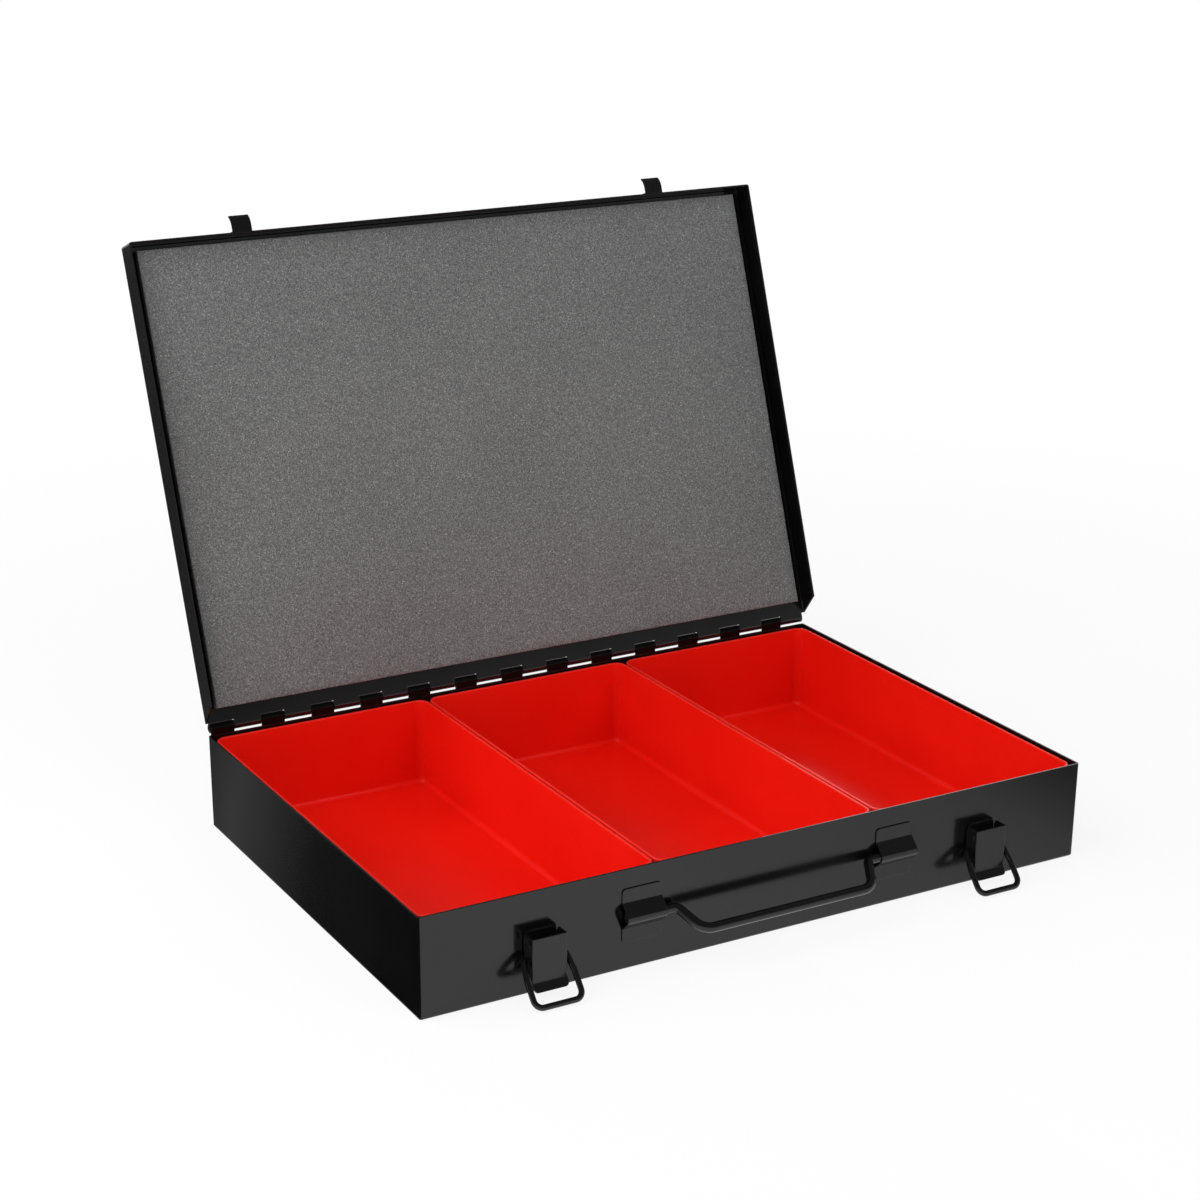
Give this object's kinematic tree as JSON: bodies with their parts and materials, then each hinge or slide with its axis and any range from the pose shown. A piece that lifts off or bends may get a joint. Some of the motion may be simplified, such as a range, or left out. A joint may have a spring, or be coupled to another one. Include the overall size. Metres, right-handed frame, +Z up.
{
  "type": "compartment organizer case",
  "caption": "Folded steel case with a hinged foam-lined lid, loose parts bins, draw latches and a wire carrying handle.",
  "frame": {"origin": "centre of the base's bottom face", "axes": "+X to the right seen from the latch side, +Y to the back where the lid is hinged, +Z up"},
  "size_m": [0.4602, 0.4351, 0.3724],
  "materials": {
    "black_sheet": "satin black powder coat",
    "black_wire": "satin black coated round wire",
    "red_plastic": "smooth moulded, semi-gloss",
    "grey_foam": "open-cell foam, speckled grey"
  },
  "bodies": {
    "case": {"case_tray": "black_sheet", "hinge_wire": "black_wire", "latch_bracket_left": "black_sheet", "latch_bracket_right": "black_sheet", "latch_pivot_pin_left": "black_wire", "latch_pivot_pin_right": "black_wire", "handle_clip_left": "black_sheet", "handle_clip_right": "black_sheet"},
    "lid": {"lid_shell": "black_sheet", "foam_pad": "grey_foam", "catch_hook_left": "black_sheet", "catch_hook_right": "black_sheet"},
    "handle": {"handle_wire": "black_wire"},
    "lever_left": {"latch_lever_left": "black_sheet"},
    "lever_right": {"latch_lever_right": "black_sheet"},
    "bail_left": {"latch_bail_left": "black_wire"},
    "bail_right": {"latch_bail_right": "black_wire"},
    "bin_left": {"bin_left": "red_plastic"},
    "bin_middle": {"bin_middle": "red_plastic"},
    "bin_right": {"bin_right": "red_plastic"}
  },
  "joints": [
    {"name": "lid_hinge", "type": "hinge", "parent": "case", "child": "lid", "pos_m": [0, 0.15445, 0.06655], "axis": [-1, 0, 0], "range_deg": [-110, 0], "deforming": ["foam_pad"]},
    {"name": "handle_swing", "type": "hinge", "parent": "case", "child": "handle", "pos_m": [0, -0.1564, 0.034], "axis": [-1, 0, 0], "range_deg": [-61, 103]},
    {"name": "lever_left_pivot", "type": "hinge", "parent": "case", "child": "lever_left", "pos_m": [-0.1532, -0.1597, 0.0346], "axis": [-1, 0, 0], "range_deg": [0, 135]},
    {"name": "bail_left_swing", "type": "hinge", "parent": "lever_left", "child": "bail_left", "pos_m": [-0.1532, -0.1572, 0.02385], "axis": [1, 0, 0], "range_deg": [-136.5, 1.5]},
    {"name": "lever_right_pivot", "type": "hinge", "parent": "case", "child": "lever_right", "pos_m": [0.1532, -0.1597, 0.0346], "axis": [-1, 0, 0], "range_deg": [0, 135]},
    {"name": "bail_right_swing", "type": "hinge", "parent": "lever_right", "child": "bail_right", "pos_m": [0.1532, -0.1572, 0.02385], "axis": [1, 0, 0], "range_deg": [-136.5, 1.5]},
    {"name": "bin_left_lift", "type": "slide", "parent": "case", "child": "bin_left", "axis": [0, 0, 1], "range_m": [0, 0.085]},
    {"name": "bin_middle_lift", "type": "slide", "parent": "case", "child": "bin_middle", "axis": [0, 0, 1], "range_m": [0, 0.085]},
    {"name": "bin_right_lift", "type": "slide", "parent": "case", "child": "bin_right", "axis": [0, 0, 1], "range_m": [0, 0.085]}
  ]
}
